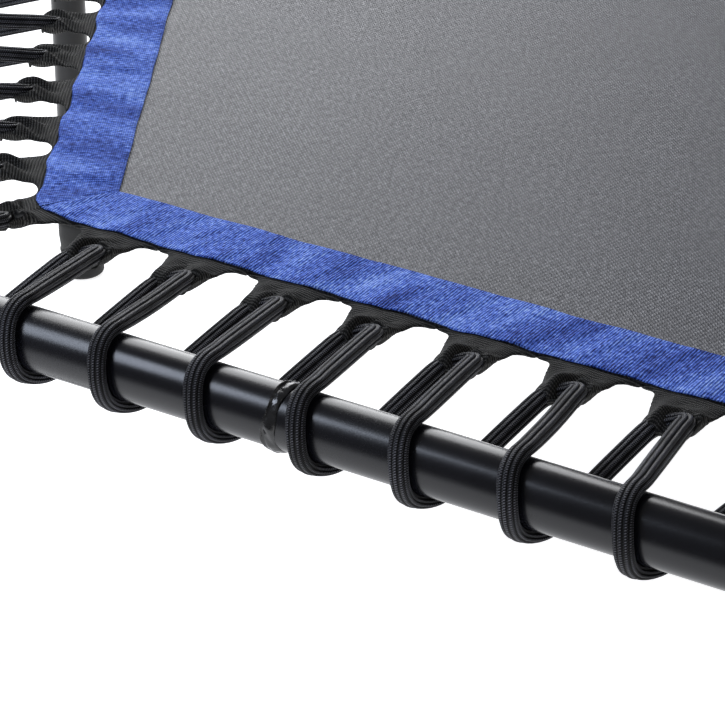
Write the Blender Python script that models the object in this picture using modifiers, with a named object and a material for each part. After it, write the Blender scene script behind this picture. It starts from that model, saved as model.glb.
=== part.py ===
"""Hexagonal fitness trampoline: welded tube frame, screw-on legs, laced elastic cord, sewn mat.

The frame stands on six legs. One elastic cord runs round the whole frame: from each webbing tab
over the tube, round its outer side, back under it and into the next tab. The mat, its edge bands
and its tab strips are sewn together and travel up and down as one piece.

Metres, +Z up, origin on the floor under the middle of the mat. Corners lie on the X axis.
"""

import math

import bmesh
import bpy
from mathutils import Matrix, Vector

# ---- driving dimensions ----------------------------------------------------------------------
SIDES = 6
SIDE_LENGTH = 0.608             # between the corners of the tube's centre line
TUBE_AXIS_HEIGHT = 0.279
TUBE_RADIUS = 0.0165
TUBE_WALL = 0.0015
CORNER_BEND_RADIUS = 0.090      # of the tube's centre line

SEAM_TO_WRAP = 0.0055           # from each weld's middle to the cord wrap beside it
BEAD_WIDTH = 0.006
BEAD_HEIGHT = 0.0012

BRACKET_THICKNESS = 0.005
BRACKET_WIDTH = 0.034
LEG_INSET = 0.0625              # leg axis, inward from the bent corner's centre line
LEG_RADIUS = 0.0127
LEG_WALL = 0.0015
LEG_INSERT_LENGTH = 0.026       # threaded plug in the top of each leg
BOLT_RADIUS = 0.005
BOLT_REACH = 0.022              # below the bracket
BOLT_HEAD_RADIUS = 0.0085
BOLT_HEAD_HEIGHT = 0.0055
BOLT_CROWN_RADIUS = 0.0050      # flat on top of the button head
BOLT_RIM_HEIGHT = 0.0018        # straight side of the head

FOOT_BASE_WALL = 0.0038         # foot walls are counted from the leg's socket
FOOT_WAIST_WALL = 0.0020
FOOT_COLLAR_WALL = 0.0030
FOOT_TOP_WALL = 0.0022
FOOT_HEIGHT = 0.046
FOOT_WAIST_HEIGHT = 0.017
FOOT_COLLAR_HEIGHT = 0.033
FOOT_SOLE = 0.006
FOOT_EDGE = 0.002               # rounding of the base

MAT_TOP_ABOVE_AXIS = 0.0050
MAT_THICKNESS = 0.0015
BAND_THICKNESS = 0.0015
BAND_OUTER_GAP = 0.1155         # from the tube's axis inward to the band's outer edge
BAND_WIDTH = 0.0465
STRIP_THICKNESS = 0.0026
STRIP_UNDERLAP = 0.016          # of the tab strip under the band
HEM_WIDTH = 0.0075              # of the tab strip beyond the band, between the tabs

TABS_PER_SIDE = 8               # the tab at one corner is counted with each side
TAB_BASE_WIDTH = 0.040
TAB_NECK_WIDTH = 0.020
TUNNEL_REACH = 0.0275           # from the band's outer edge to the tunnel's axis
CORNER_TUNNEL_REACH = 0.0200    # the same at a corner
TUNNEL_LENGTH = 0.006
TUNNEL_WALL = 0.0018

CORD_RADIUS = 0.0047
STRAND_BEND = 0.0040            # sideways, of each strand where it leaves its tunnel
WRAP_ADVANCE = 0.0210           # along the tube, in the half turn round its outer side
WRAP_SHIFT = 0.0015             # of a wrap from half way between its two tabs
FERRULE_LENGTH = 0.014
FERRULE_WALL = 0.0010
FERRULE_PLACE = 0.3             # share of its strand, from the tube towards the tab

FIT_GAP = 0.0003                # between pieces that touch
CUT_OVERRUN = 0.003             # of a cutter past the piece that it cuts

# ---- smoothness ------------------------------------------------------------------------------
TUBE_SIDES = 12
TURNED_STEPS = 12
CORD_SIDES = 6
RING_SIDES = 8
BEND_STEPS = 6
WRAP_STEPS = 5
FERRULE_SIDES = 8
SMOOTH_ANGLE = math.radians(50)
WELD_DISTANCE = 0.00002

# ---- dependent dimensions --------------------------------------------------------------------
SIDE_TURN = 2 * math.pi / SIDES
HALF_TURN = SIDE_TURN / 2
FIRST_SIDE_ANGLE = -math.pi / 2
APOTHEM = SIDE_LENGTH / (2 * math.tan(HALF_TURN))
CORNER_RADIUS = (APOTHEM - CORNER_BEND_RADIUS) / math.cos(HALF_TURN) + CORNER_BEND_RADIUS

MAT_TOP = TUBE_AXIS_HEIGHT + MAT_TOP_ABOVE_AXIS
MAT_MIDDLE = MAT_TOP - MAT_THICKNESS / 2
BAND_MIDDLE = MAT_TOP + FIT_GAP + BAND_THICKNESS / 2
STRIP_MIDDLE = MAT_TOP - MAT_THICKNESS - FIT_GAP - STRIP_THICKNESS / 2
BAND_OUTER = APOTHEM - BAND_OUTER_GAP
BAND_INNER = BAND_OUTER - BAND_WIDTH
HEM_OUTER = BAND_OUTER + HEM_WIDTH
STRIP_INNER = BAND_OUTER - STRIP_UNDERLAP
TAB_PITCH = 2 * BAND_OUTER * math.tan(HALF_TURN) / TABS_PER_SIDE

SEAM_OFFSET = (TAB_PITCH / 2 + WRAP_SHIFT - WRAP_ADVANCE / 2) - CORD_RADIUS - SEAM_TO_WRAP

TUNNEL_HOLE_RADIUS = (CORD_RADIUS + FIT_GAP) / math.cos(math.pi / RING_SIDES)
TUNNEL_OUTER_RADIUS = TUNNEL_HOLE_RADIUS + TUNNEL_WALL
SIDE_TUNNEL = BAND_OUTER + TUNNEL_REACH
CORNER_TUNNEL = BAND_OUTER / math.cos(HALF_TURN) + CORNER_TUNNEL_REACH

LEG_AXIS_RADIUS = CORNER_RADIUS - LEG_INSET
BRACKET_TOP = TUBE_AXIS_HEIGHT - TUBE_RADIUS - FIT_GAP
BRACKET_BOTTOM = BRACKET_TOP - BRACKET_THICKNESS
LEG_TOP = BRACKET_BOTTOM - FIT_GAP
LEG_BOTTOM = FOOT_SOLE + FIT_GAP

WRAP_RADIUS = TUBE_RADIUS + CORD_RADIUS + FIT_GAP
BEND_START = TUNNEL_LENGTH / 2 + CORD_RADIUS / 2 + FIT_GAP
STRAND_SPREAD = BEND_START + STRAND_BEND
TUNNEL_CUT_LENGTH = TAB_NECK_WIDTH + 2 * CUT_OVERRUN


# ---- places on the hexagon -------------------------------------------------------------------
def place(angle, radius, along, height):
    """A point at radius in the direction angle, moved along counter-clockwise from it."""
    outward = Vector((math.cos(angle), math.sin(angle), 0))
    sideways = Vector((-math.sin(angle), math.cos(angle), 0))
    return outward * radius + sideways * along + Vector((0, 0, height))


def side_angle(side):
    return FIRST_SIDE_ANGLE + side * SIDE_TURN


def corner_angle(side):
    """Direction of the corner where a side starts."""
    return side_angle(side) - HALF_TURN


# ---- scene and helpers -----------------------------------------------------------------------
def clear_scene():
    for thing in list(bpy.data.objects):
        bpy.data.objects.remove(thing, do_unlink=True)


def new_collection(name):
    group = bpy.data.collections.new(name)
    bpy.context.scene.collection.children.link(group)
    return group


def make_material(name, colour, roughness, metallic=0.0):
    material = bpy.data.materials.new(name)
    material.use_nodes = True
    shader = material.node_tree.nodes["Principled BSDF"]
    shader.inputs["Base Color"].default_value = (*colour, 1.0)
    shader.inputs["Roughness"].default_value = roughness
    shader.inputs["Metallic"].default_value = metallic
    return material


def add_part(name, data, material, matrix=None):
    data.materials.append(material)
    part = bpy.data.objects.new(name, data)
    PARTS.objects.link(part)
    if matrix is not None:
        part.matrix_world = matrix
    return part


def smooth(part):
    part.data.shade_smooth()
    part.data.set_sharp_from_angle(angle=SMOOTH_ANGLE)


def baked_mesh(thing, name):
    """The evaluated mesh of an object in world space, with loose caps welded; the object goes."""
    bpy.context.scene.collection.objects.link(thing)
    bpy.context.view_layer.update()
    evaluated = thing.evaluated_get(bpy.context.evaluated_depsgraph_get())
    mesh = bpy.data.meshes.new_from_object(evaluated)
    mesh.name = name
    mesh.transform(thing.matrix_world)
    shape = bmesh.new()
    shape.from_mesh(mesh)
    bmesh.ops.remove_doubles(shape, verts=shape.verts, dist=WELD_DISTANCE)
    bmesh.ops.recalc_face_normals(shape, faces=shape.faces)
    shape.to_mesh(mesh)
    shape.free()
    mesh.materials.clear()
    bpy.data.objects.remove(thing, do_unlink=True)
    return mesh


def poly_curve(name, points, radius, sides, closed=False, caps=True):
    """A round tube along points, with the given number of sides."""
    curve = bpy.data.curves.new(name, "CURVE")
    curve.dimensions = "3D"
    curve.twist_mode = "Z_UP"
    curve.bevel_depth = radius
    curve.bevel_resolution = (sides - 4) // 2
    curve.use_fill_caps = caps
    spline = curve.splines.new("POLY")
    spline.points.add(len(points) - 1)
    for slot, point in zip(spline.points, points):
        slot.co = (*point, 1.0)
    spline.use_cyclic_u = closed
    return curve


def holed_plate(name, outline, hole, thickness, matrix):
    """A flat plate with one hole, centred on z = 0 of its matrix."""
    curve = bpy.data.curves.new(name, "CURVE")
    curve.dimensions = "2D"
    curve.fill_mode = "BOTH"
    curve.extrude = thickness / 2
    for corners in (outline, hole):
        spline = curve.splines.new("POLY")
        spline.points.add(len(corners) - 1)
        for slot, point in zip(spline.points, corners):
            slot.co = (point[0], point[1], 0.0, 1.0)
        spline.use_cyclic_u = True
    plate = bpy.data.objects.new(name, curve)
    plate.matrix_world = matrix
    return baked_mesh(plate, name)


def plate(name, outline, thickness, matrix):
    """A flat sheet cut to an outline, made solid both ways from z = 0 of its matrix."""
    sheet = bpy.data.meshes.new(name)
    sheet.from_pydata([(point[0], point[1], 0.0) for point in outline], [], [range(len(outline))])
    blank = bpy.data.objects.new(name, sheet)
    blank.matrix_world = matrix
    wall = blank.modifiers.new("wall", "SOLIDIFY")
    wall.thickness = thickness
    wall.offset = 0.0
    return baked_mesh(blank, name)


def turned(name, profile, material, matrix, steps=TURNED_STEPS):
    """A closed profile of (radius, height), outer side top to bottom, turned about Z."""
    mesh = bpy.data.meshes.new(name)
    corners = [(radius, 0.0, height) for radius, height in profile]
    count = len(corners)
    closed = min(radius for radius, _ in profile) > 0
    last = count if closed else count - 1
    mesh.from_pydata(corners, [(i, (i + 1) % count) for i in range(last)], [])
    part = add_part(name, mesh, material, matrix)
    screw = part.modifiers.new("turn", "SCREW")
    screw.steps = steps
    screw.render_steps = steps
    screw.use_merge_vertices = True
    screw.merge_threshold = WELD_DISTANCE
    screw.use_smooth_shade = True
    return part


def around(radius, sides):
    """Corner radius of the polygon whose flats touch a circle."""
    return radius / math.cos(math.pi / sides)


def regular_polygon(radius, sides):
    """Corners of a polygon with a flat at the top, about the origin."""
    angles = [(i + 0.5) * 2 * math.pi / sides for i in range(sides)]
    return [(radius * math.cos(angle), radius * math.sin(angle)) for angle in angles]


# ---- frame -----------------------------------------------------------------------------------
def frame_segment(side):
    """The bent tube at the corner where a side starts, from weld to weld."""
    before = side_angle(side - 1)
    after = side_angle(side)
    corner = corner_angle(side)
    centre = place(corner, CORNER_RADIUS - CORNER_BEND_RADIUS, 0, TUBE_AXIS_HEIGHT)
    points = [place(before, APOTHEM, SEAM_OFFSET + FIT_GAP / 2, TUBE_AXIS_HEIGHT)]
    for step in range(BEND_STEPS + 1):
        angle = before + SIDE_TURN * step / BEND_STEPS
        points.append(centre + place(angle, CORNER_BEND_RADIUS, 0, 0))
    points.append(place(after, APOTHEM, SEAM_OFFSET - FIT_GAP / 2, TUBE_AXIS_HEIGHT))
    name = f"frame_segment_{side + 1}"
    curve = poly_curve(name, points, TUBE_RADIUS, TUBE_SIDES, caps=False)
    segment = add_part(name, curve, BLACK_STEEL)
    wall = segment.modifiers.new("wall", "SOLIDIFY")
    wall.thickness = TUBE_WALL
    wall.offset = -1.0
    return segment


def weld_bead(side):
    inner = TUBE_RADIUS + FIT_GAP
    outer = inner + BEAD_HEIGHT
    half = BEAD_WIDTH / 2
    profile = [(inner, half), (outer, half / 2), (outer, -half / 2), (inner, -half)]
    matrix = (Matrix.Translation(place(side_angle(side), APOTHEM, SEAM_OFFSET, TUBE_AXIS_HEIGHT))
              @ Matrix.Rotation(side_angle(side), 4, "Z") @ Matrix.Rotation(math.pi / 2, 4, "X"))
    turned(f"weld_bead_{side + 1}", profile, BARE_WELD, matrix)


# ---- legs ------------------------------------------------------------------------------------
def leg_bracket(side):
    """Flat plate under the corner, welded to the tube, with a hole for the leg's bolt."""
    half = BRACKET_WIDTH / 2
    outer_end = CORNER_RADIUS
    nose = [math.radians(90 + 30 * step) for step in range(7)]
    outline = [(outer_end, -half), (outer_end, half)]
    outline += [(LEG_AXIS_RADIUS + half * math.cos(a), half * math.sin(a)) for a in nose]
    hole_radius = around(BOLT_RADIUS + FIT_GAP, TURNED_STEPS)
    hole = [(LEG_AXIS_RADIUS + x, y) for x, y in regular_polygon(hole_radius, TURNED_STEPS)]
    middle = (BRACKET_TOP + BRACKET_BOTTOM) / 2
    matrix = Matrix.Translation((0, 0, middle)) @ Matrix.Rotation(corner_angle(side), 4, "Z")
    name = f"leg_bracket_{side + 1}"
    add_part(name, holed_plate(name, outline, hole, BRACKET_THICKNESS, matrix), BLACK_STEEL)


def leg_matrix(side):
    spot = place(corner_angle(side), LEG_AXIS_RADIUS, 0, 0)
    return Matrix.Translation(spot) @ Matrix.Rotation(corner_angle(side), 4, "Z")


def leg_bolt(side):
    """Button-headed bolt from above the bracket into the leg's threaded plug."""
    seat = BRACKET_TOP + FIT_GAP
    top = seat + BOLT_HEAD_HEIGHT
    end = BRACKET_BOTTOM - BOLT_REACH
    profile = [(0, top), (BOLT_CROWN_RADIUS, top), (BOLT_HEAD_RADIUS, seat + BOLT_RIM_HEIGHT),
               (BOLT_HEAD_RADIUS, seat), (BOLT_RADIUS, seat), (BOLT_RADIUS, end), (0, end)]
    turned(f"leg_bolt_{side + 1}", profile, ZINC, leg_matrix(side))


def leg_tube(side):
    """Tube with a threaded plug fixed in its top; the plug's hole runs right through."""
    bore = LEG_RADIUS - LEG_WALL
    thread = around(BOLT_RADIUS + FIT_GAP, TURNED_STEPS)
    plug_bottom = LEG_TOP - LEG_INSERT_LENGTH
    profile = [(LEG_RADIUS, LEG_TOP), (LEG_RADIUS, LEG_BOTTOM), (bore, LEG_BOTTOM),
               (bore, plug_bottom), (thread, plug_bottom), (thread, LEG_TOP)]
    turned(f"leg_tube_{side + 1}", profile, BLACK_STEEL, leg_matrix(side))


def rubber_foot(side):
    """Push-on cup with a flared base, a waist and a collar."""
    socket = around(LEG_RADIUS + FIT_GAP, TURNED_STEPS)
    inside = [(0, FOOT_SOLE), (socket, FOOT_SOLE), (socket, FOOT_HEIGHT)]
    outside = [(socket + FOOT_TOP_WALL, FOOT_HEIGHT),
               (socket + FOOT_COLLAR_WALL, FOOT_COLLAR_HEIGHT),
               (socket + FOOT_WAIST_WALL, FOOT_WAIST_HEIGHT),
               (socket + FOOT_BASE_WALL, FOOT_EDGE),
               (socket + FOOT_BASE_WALL - FOOT_EDGE, 0), (0, 0)]
    turned(f"rubber_foot_{side + 1}", inside + outside, RUBBER, leg_matrix(side))


# ---- mat, bands and tab strips ---------------------------------------------------------------
def jumping_mat():
    """Woven hexagon; the edge band lies on it and the tab strips are sewn under it."""
    reach = BAND_OUTER / math.cos(HALF_TURN) - FIT_GAP
    corners = [place(corner_angle(side), reach, 0, 0) for side in range(SIDES)]
    matrix = Matrix.Translation((0, 0, MAT_MIDDLE))
    mesh = plate("jumping_mat", corners, MAT_THICKNESS, matrix)
    add_part("jumping_mat", mesh, WOVEN_GREY)


def mitred(side, inner, outer):
    """Corners of a strip of one side between two distances, mitred with half a gap at each end."""
    angle = side_angle(side)
    corners = []
    for distance, end in ((outer, -1), (outer, 1), (inner, 1), (inner, -1)):
        along = distance * math.tan(HALF_TURN) - FIT_GAP
        corners.append(place(angle, distance, end * along, 0))
    return corners


def edge_band(side):
    name = f"edge_band_{side + 1}"
    matrix = Matrix.Translation((0, 0, BAND_MIDDLE))
    mesh = plate(name, mitred(side, BAND_INNER, BAND_OUTER), BAND_THICKNESS, matrix)
    add_part(name, mesh, WOVEN_BLUE)


def tab_middle(tab):
    """Distance of a tab from the middle of its side; tab 0 is the one at the side's start."""
    return (tab - TABS_PER_SIDE / 2) * TAB_PITCH


def tab_strip(side):
    """Webbing strip under the mat's edge with a corner tab, seven side tabs and their tunnels."""
    angle = side_angle(side)
    corner = corner_angle(side)
    base = TAB_BASE_WIDTH / 2
    neck = TAB_NECK_WIDTH / 2
    start_end, _, inner_end, inner_start = mitred(side, STRIP_INNER, HEM_OUTER)
    hem_vertex = HEM_OUTER / math.cos(HALF_TURN)
    flap = base * math.cos(HALF_TURN)
    outline = [inner_start, start_end]
    outline.append(place(corner, (HEM_OUTER + FIT_GAP) / math.cos(HALF_TURN), 0, 0))
    neighbour = side_angle(side - 1)
    neighbour_end = HEM_OUTER * math.tan(HALF_TURN)
    outline.append(place(neighbour, HEM_OUTER + FIT_GAP, neighbour_end - flap, 0))
    outline.append(place(corner, CORNER_TUNNEL, -neck, 0))
    outline.append(place(corner, CORNER_TUNNEL, neck, 0))
    outline.append(place(angle, HEM_OUTER, flap - hem_vertex * math.sin(HALF_TURN), 0))
    for tab in range(1, TABS_PER_SIDE):
        middle = tab_middle(tab)
        outline.append(place(angle, HEM_OUTER, middle - base, 0))
        outline.append(place(angle, SIDE_TUNNEL, middle - neck, 0))
        outline.append(place(angle, SIDE_TUNNEL, middle + neck, 0))
        outline.append(place(angle, HEM_OUTER, middle + base, 0))
    outline += [place(angle, HEM_OUTER, neighbour_end - FIT_GAP, 0), inner_end]
    name = f"tab_strip_{side + 1}"
    matrix = Matrix.Translation((0, 0, STRIP_MIDDLE))
    strip = add_part(name, plate(name, outline, STRIP_THICKNESS, matrix), WEBBING)
    holes = [tunnel(corner, CORNER_TUNNEL, 0, TUNNEL_HOLE_RADIUS, TUNNEL_CUT_LENGTH)]
    rings = [tunnel(corner, CORNER_TUNNEL, 0, TUNNEL_OUTER_RADIUS, TUNNEL_LENGTH)]
    for tab in range(1, TABS_PER_SIDE):
        middle = tab_middle(tab)
        rings.append(tunnel(angle, SIDE_TUNNEL, middle, TUNNEL_OUTER_RADIUS, TUNNEL_LENGTH))
        holes.append(tunnel(angle, SIDE_TUNNEL, middle, TUNNEL_HOLE_RADIUS, TUNNEL_CUT_LENGTH))
    combine(strip, joined(name + "_rings", rings), "UNION")
    combine(strip, joined(name + "_holes", holes), "DIFFERENCE")


def tunnel(angle, radius, along, size, length):
    """A round bar along the side at a tab, as big as the tunnel's outside or as its hole."""
    middle = place(angle, radius, along, STRIP_MIDDLE)
    matrix = (Matrix.Translation(middle) @ Matrix.Rotation(angle, 4, "Z")
              @ Matrix.Rotation(math.pi / 2, 4, "X"))
    return plate("tunnel", regular_polygon(size, RING_SIDES), length, matrix)


def joined(name, meshes):
    """One cutter object that holds several separate closed meshes."""
    shape = bmesh.new()
    for mesh in meshes:
        shape.from_mesh(mesh)
        bpy.data.meshes.remove(mesh)
    mesh = bpy.data.meshes.new(name)
    shape.to_mesh(mesh)
    shape.free()
    cutter = bpy.data.objects.new(name, mesh)
    CUTTERS.objects.link(cutter)
    cutter.hide_render = True
    cutter.display_type = "WIRE"
    return cutter


def combine(part, other, operation):
    boolean = part.modifiers.new(operation.lower(), "BOOLEAN")
    boolean.operation = operation
    boolean.solver = "EXACT"
    boolean.object = other


# ---- elastic cord ----------------------------------------------------------------------------
def tab_pass(side, tab):
    """Cord points through a tab's tunnel, from its left end to its right end."""
    if tab == 0:
        angle, radius, middle = corner_angle(side), CORNER_TUNNEL, 0
    else:
        angle, radius, middle = side_angle(side), SIDE_TUNNEL, tab_middle(tab)
    drop = CORD_RADIUS
    return [place(angle, radius + drop, middle - STRAND_SPREAD, STRIP_MIDDLE),
            place(angle, radius, middle - BEND_START, STRIP_MIDDLE),
            place(angle, radius, middle + BEND_START, STRIP_MIDDLE),
            place(angle, radius + drop, middle + STRAND_SPREAD, STRIP_MIDDLE)]


def tube_wrap(side, tab):
    """Cord points over the tube after a tab, down its outer side and under it."""
    middle = (tab + 0.5 - TABS_PER_SIDE / 2) * TAB_PITCH + WRAP_SHIFT
    slope = math.atan2(WRAP_RADIUS, APOTHEM - SIDE_TUNNEL)
    first = math.pi / 2 - slope
    sweep = math.pi + 2 * slope
    step = sweep / WRAP_STEPS
    radius = WRAP_RADIUS / math.cos(step / 2)
    points = []
    for index in range(WRAP_STEPS + 1):
        turn = first + step * index
        along = middle + WRAP_ADVANCE * (turn / math.pi - 1)
        height = TUBE_AXIS_HEIGHT + radius * math.sin(turn)
        points.append(place(side_angle(side), APOTHEM - radius * math.cos(turn), along, height))
    return points


def elastic_cord():
    points = []
    for side in range(SIDES):
        for tab in range(TABS_PER_SIDE):
            points += tab_pass(side, tab) + tube_wrap(side, tab)
    curve = poly_curve("elastic_cord", points, CORD_RADIUS, CORD_SIDES, closed=True)
    add_part("elastic_cord", curve, BLACK_CORD)


def cord_ferrule():
    """Crimped sleeve that joins the cord's two ends, on a strand under the tube at the back."""
    side = SIDES // 2
    tab = TABS_PER_SIDE // 2
    start = tube_wrap(side, tab)[-1]
    end = tab_pass(side, tab + 1)[0]
    middle = start.lerp(end, FERRULE_PLACE)
    hole = around(CORD_RADIUS + FIT_GAP, FERRULE_SIDES)
    outer = hole + FERRULE_WALL
    half = FERRULE_LENGTH / 2
    profile = [(outer, half), (outer, -half), (hole, -half), (hole, half)]
    turn = (end - start).to_track_quat("Z", "Y").to_matrix().to_4x4()
    turned("cord_ferrule", profile, ZINC, Matrix.Translation(middle) @ turn, FERRULE_SIDES)


# ---- build -----------------------------------------------------------------------------------
clear_scene()
PARTS = new_collection("trampoline")
CUTTERS = new_collection("cutters")
BLACK_STEEL = make_material("black_powder_coat", (0.012, 0.012, 0.014), 0.38)
BARE_WELD = make_material("painted_weld", (0.020, 0.020, 0.022), 0.30)
ZINC = make_material("zinc_steel", (0.55, 0.56, 0.58), 0.35, 1.0)
RUBBER = make_material("black_rubber", (0.014, 0.014, 0.014), 0.70)
WOVEN_GREY = make_material("woven_mat", (0.16, 0.16, 0.175), 0.60)
WOVEN_BLUE = make_material("blue_band", (0.105, 0.175, 0.58), 0.80)
WEBBING = make_material("black_webbing", (0.010, 0.010, 0.011), 0.75)
BLACK_CORD = make_material("black_cord", (0.010, 0.010, 0.011), 0.60)

for number in range(SIDES):
    frame_segment(number)
    weld_bead(number)
    leg_bracket(number)
    leg_bolt(number)
    leg_tube(number)
    rubber_foot(number)
    edge_band(number)
    tab_strip(number)
jumping_mat()
elastic_cord()
cord_ferrule()
for piece in PARTS.objects:
    if piece.type == "MESH" and len(piece.data.polygons):
        smooth(piece)
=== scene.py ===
"""Looks of the six-sided trampoline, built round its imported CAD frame. Lengths are in metres."""

import math

import bpy
import numpy as np
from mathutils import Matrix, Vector


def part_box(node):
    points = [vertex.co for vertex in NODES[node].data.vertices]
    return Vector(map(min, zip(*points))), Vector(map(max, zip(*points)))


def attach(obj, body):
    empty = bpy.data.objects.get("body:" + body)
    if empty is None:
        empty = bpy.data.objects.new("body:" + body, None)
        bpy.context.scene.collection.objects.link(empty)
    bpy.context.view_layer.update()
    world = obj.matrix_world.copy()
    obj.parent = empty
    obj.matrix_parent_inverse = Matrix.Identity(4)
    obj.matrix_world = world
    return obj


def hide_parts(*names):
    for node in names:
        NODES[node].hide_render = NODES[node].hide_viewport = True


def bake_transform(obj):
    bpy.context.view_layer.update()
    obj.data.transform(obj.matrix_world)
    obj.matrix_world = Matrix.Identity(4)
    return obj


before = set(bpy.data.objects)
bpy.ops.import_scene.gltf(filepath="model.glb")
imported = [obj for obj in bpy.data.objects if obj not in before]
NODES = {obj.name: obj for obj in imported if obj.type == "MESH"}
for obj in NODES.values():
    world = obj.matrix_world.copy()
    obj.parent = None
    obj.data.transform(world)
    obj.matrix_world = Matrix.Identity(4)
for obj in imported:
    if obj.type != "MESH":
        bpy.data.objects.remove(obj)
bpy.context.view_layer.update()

# ---- sizes, from the CAD nodes ---------------------------------------------------------------
SIDES = 6
TABS = 8
RIBS = 10                # along the braided cord
ROUND = 0.030            # round the cord
TURN = 2 * math.pi / SIDES
HALF = TURN / 2
MM = 0.001


def low(node, axis):
    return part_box(node)[0][axis]


def high(node, axis):
    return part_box(node)[1][axis]


TUBE = (high("frame_segment_1", 2) - low("frame_segment_1", 2)) / 2
AXIS = (high("frame_segment_1", 2) + low("frame_segment_1", 2)) / 2
APOTHEM = -low("frame_segment_1", 1) - TUBE
SEAM = (low("weld_bead_1", 0) + high("weld_bead_1", 0)) / 2
BEND = 0.090             # radius of the tube's axis in a corner
CORNER = (APOTHEM - BEND) / math.cos(HALF) + BEND
BAND_OUT = -low("edge_band_1", 1)
BAND_IN = -high("edge_band_1", 1)
BAND_LOW, BAND_TOP = low("edge_band_1", 2), high("edge_band_1", 2)
MAT_LOW, MAT_TOP = low("jumping_mat", 2), high("jumping_mat", 2)
STRIP = (low("tab_strip_1", 2) + high("tab_strip_1", 2)) / 2
LIFT = 2.3 * MM          # of the tabs, outside the mat's edge
PITCH = 2 * BAND_OUT * math.tan(HALF) / TABS
TAB_REACH = 0.0275       # from the band's edge to the cord's turn in a tab
CORNER_REACH = 0.0200
TUNNEL = BAND_OUT + TAB_REACH
CORNER_TUNNEL = BAND_OUT / math.cos(HALF) + CORNER_REACH
LEG = (high("leg_tube_1", 0) - low("leg_tube_1", 0)) / 2
LEG_PLACE = math.hypot((high("leg_tube_1", 0) + low("leg_tube_1", 0)) / 2,
                       (high("leg_tube_1", 1) + low("leg_tube_1", 1)) / 2)
LEG_TOP = high("leg_tube_1", 2)


def side_angle(side):
    return -math.pi / 2 + side * TURN


def corner_angle(side):
    return side_angle(side) - HALF


def place(angle, radius, along, height):
    """Points at radius in the direction angle, moved along counter-clockwise from it."""
    radius, along, height = np.broadcast_arrays(*(np.asarray(x, float) for x in (radius, along, height)))
    c, s = math.cos(angle), math.sin(angle)
    return np.stack([radius * c - along * s, radius * s + along * c, height], -1)


def smoothstep(x, a=0.0, b=1.0):
    t = np.clip((np.asarray(x, float) - a) / (b - a), 0, 1)
    return t * t * (3 - 2 * t)


def bell(x, middle, width):
    return np.exp(-((x - middle) / width) ** 2)


def waves(x, seed, lengths, reach):
    """A smooth wandering line: a few sines of seeded phase."""
    rng = np.random.default_rng(seed)
    x = np.asarray(x, float)
    total = np.zeros_like(x)
    for length in lengths:
        phase = rng.uniform(0, 2 * math.pi)
        total += np.sin(2 * math.pi * x / length + phase) * rng.uniform(0.6, 1.0)
    return total * reach / math.sqrt(len(lengths))


# ---- meshes ----------------------------------------------------------------------------------
def quads_of(rows, columns, closed_rows, closed_columns, start=0):
    i = np.arange(rows if closed_rows else rows - 1)
    j = np.arange(columns if closed_columns else columns - 1)
    i, j = np.meshgrid(i, j, indexing="ij")
    i2, j2 = (i + 1) % rows, (j + 1) % columns
    quads = np.stack([i * columns + j, i2 * columns + j, i2 * columns + j2, i * columns + j2], -1)
    wide = columns + 1 if closed_columns else columns
    corners = np.stack([i * wide + j, (i + 1) * wide + j, (i + 1) * wide + j + 1, i * wide + j + 1], -1)
    return quads.reshape(-1, 4) + start, corners.reshape(-1, 4)


class Shape:
    """Collects grids of points into one mesh, with UVs in metres."""

    def __init__(self):
        self.points, self.quads, self.uvs, self.count = [], [], [], 0

    def grid(self, points, uv, closed_rows=False, closed_columns=False, flip=False):
        """points is rows x columns x 3; uv has one more row or column where that way is closed."""
        rows, columns = points.shape[:2]
        quads, corners = quads_of(rows, columns, closed_rows, closed_columns, self.count)
        if flip:
            quads, corners = quads[:, ::-1], corners[:, ::-1]
        self.points.append(points.reshape(-1, 3))
        self.quads.append(quads)
        self.uvs.append(uv.reshape(-1, 2)[corners])
        self.count += rows * columns

    def piece(self, name, material, slot, body=None, stands_for=()):
        points, quads = np.concatenate(self.points), np.concatenate(self.quads)
        uvs = np.concatenate(self.uvs)
        mesh = bpy.data.meshes.new(name)
        mesh.vertices.add(len(points))
        mesh.vertices.foreach_set("co", points.astype(np.float32).ravel())
        mesh.loops.add(quads.size)
        mesh.loops.foreach_set("vertex_index", quads.astype(np.int32).ravel())
        mesh.polygons.add(len(quads))
        mesh.polygons.foreach_set("loop_start", np.arange(0, quads.size, 4, dtype=np.int32))
        mesh.update(calc_edges=True)
        layer = mesh.uv_layers.new(name="UVMap")
        layer.data.foreach_set("uv", uvs.astype(np.float32).ravel())
        mesh.validate()
        mesh.shade_smooth()
        mesh.materials.append(material)
        piece = bpy.data.objects.new(name, mesh)
        bpy.context.scene.collection.objects.link(piece)
        if body:
            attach(piece, body)
        if stands_for:
            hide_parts(*stands_for)
        return piece


def grid_uv(u, v):
    return np.stack(np.broadcast_arrays(np.asarray(u, float), np.asarray(v, float)), -1)


def turned(profile, centre, steps=72):
    """A profile of (radius, height) turned about the upright line through centre, and its UVs."""
    profile = np.array(profile, float)
    angle = np.linspace(0, 2 * math.pi, steps, endpoint=False)
    r, z = profile[:, 0][None], profile[:, 1][None]
    points = np.stack([centre[0] + r * np.cos(angle)[:, None], centre[1] + r * np.sin(angle)[:, None],
                       np.broadcast_to(z, (steps, len(profile)))], -1)
    run = np.concatenate([[0], np.cumsum(np.hypot(*np.diff(profile, axis=0).T))])
    around = np.linspace(0, 2 * math.pi, steps + 1)[:, None] * profile[:, 0].max()
    return points, grid_uv(around, run[None])


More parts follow.
